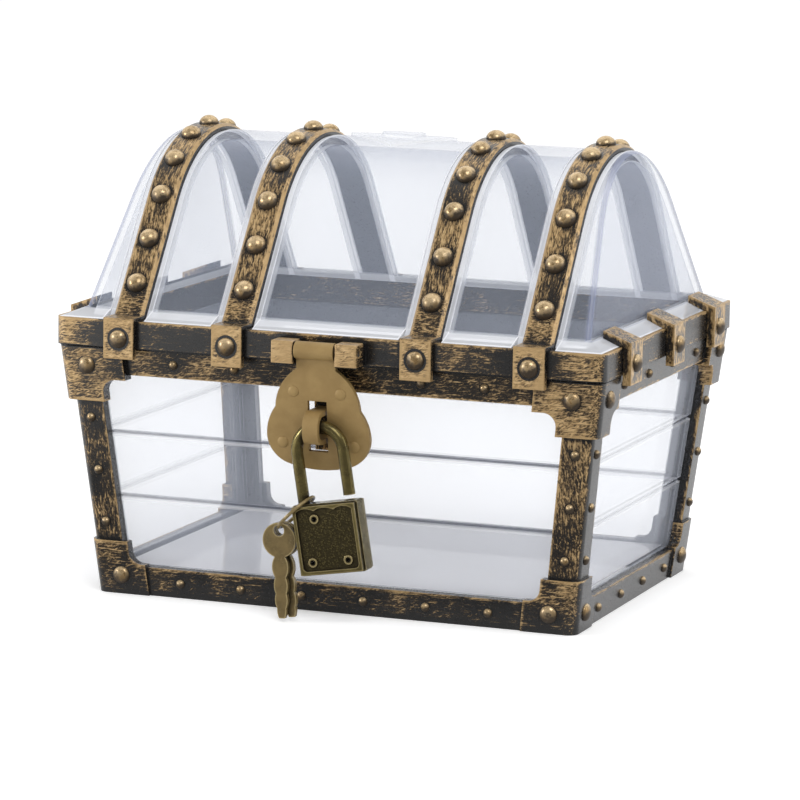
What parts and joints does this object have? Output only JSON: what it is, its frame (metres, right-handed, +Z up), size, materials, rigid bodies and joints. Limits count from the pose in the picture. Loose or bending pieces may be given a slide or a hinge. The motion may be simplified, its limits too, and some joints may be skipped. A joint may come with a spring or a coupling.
{
  "type": "treasure chest box",
  "caption": "Clear keepsake chest with a bronzed riveted frame, an arched hinged lid, a hasp over a staple, and a small padlock with keys hung on the staple.",
  "frame": {"origin": "middle of the chest's underside, on the plane that the chest stands on", "axes": "+X along the front to the viewer's right, +Y from the front to the back, +Z up"},
  "size_m": [0.1414, 0.1173, 0.11],
  "materials": {
    "bronzed_plastic": "black moulding dry-brushed with antique gold",
    "clear_plastic": "clear, polished",
    "gold_sheet": "flat antique gold",
    "old_brass": "antique, polished on the edges",
    "pin_steel": "satin"
  },
  "bodies": {
    "base": {"base_frame": "bronzed_plastic", "base_tub": "clear_plastic", "staple": "gold_sheet", "hinge_pin_left": "pin_steel", "hinge_pin_right": "pin_steel"},
    "lid": {"lid_rim": "bronzed_plastic", "lid_dome": "clear_plastic", "strap_1": "bronzed_plastic", "strap_2": "bronzed_plastic", "strap_3": "bronzed_plastic", "strap_4": "bronzed_plastic", "end_bracket_left_1": "bronzed_plastic", "end_bracket_left_2": "bronzed_plastic", "end_bracket_left_3": "bronzed_plastic", "end_bracket_right_1": "bronzed_plastic", "end_bracket_right_2": "bronzed_plastic", "end_bracket_right_3": "bronzed_plastic", "hasp_pin": "pin_steel"},
    "hasp": {"hasp_plate": "gold_sheet"},
    "shackle": {"shackle": "old_brass"},
    "lock": {"lock_core": "old_brass", "lock_front_plate": "old_brass", "lock_rear_plate": "old_brass", "lock_rivets": "old_brass"},
    "plug": {"lock_plug": "old_brass"},
    "ring": {"key_ring": "old_brass"},
    "front_key": {"key_1": "old_brass"},
    "rear_key": {"key_2": "old_brass"}
  },
  "joints": [
    {"name": "lid_hinge", "type": "hinge", "parent": "base", "child": "lid", "pos_m": [0, 0.0539, 0.05985], "axis": [-1, 0, 0], "range_deg": [0, 105]},
    {"name": "hasp_hinge", "type": "hinge", "parent": "lid", "child": "hasp", "pos_m": [0, -0.055, 0.0634], "axis": [-1, 0, 0], "range_deg": [0, 170]},
    {"name": "padlock_off", "type": "slide", "parent": "base", "child": "shackle", "axis": [0, -0.94, 0.3412], "range_m": [0, 0.105]},
    {"name": "lock_close", "type": "slide", "parent": "shackle", "child": "lock", "axis": [-0.165, 0, 0.9863], "range_m": [0, 0.0034]},
    {"name": "plug_turn", "type": "hinge", "parent": "lock", "child": "plug", "pos_m": [0.00617, -0.0553, 0.01251], "axis": [-0.165, 0, 0.9863], "range_deg": [0, 90]},
    {"name": "ring_tilt", "type": "hinge", "parent": "lock", "child": "ring", "pos_m": [-0.00047, -0.0553, 0.02944], "axis": [0, 1, 0], "range_deg": [0, 30]},
    {"name": "front_key_swing", "type": "hinge", "parent": "ring", "child": "front_key", "pos_m": [-0.00797, -0.0553, 0.02194], "axis": [0, 1, 0], "range_deg": [0, 25]},
    {"name": "rear_key_swing", "type": "hinge", "parent": "ring", "child": "rear_key", "pos_m": [-0.00797, -0.0553, 0.02194], "axis": [0, 1, 0], "range_deg": [0, 25]}
  ],
  "couplings": [
    {"joint": "padlock_off", "follows": "hasp_hinge", "m_per_rad": 0.035}
  ]
}
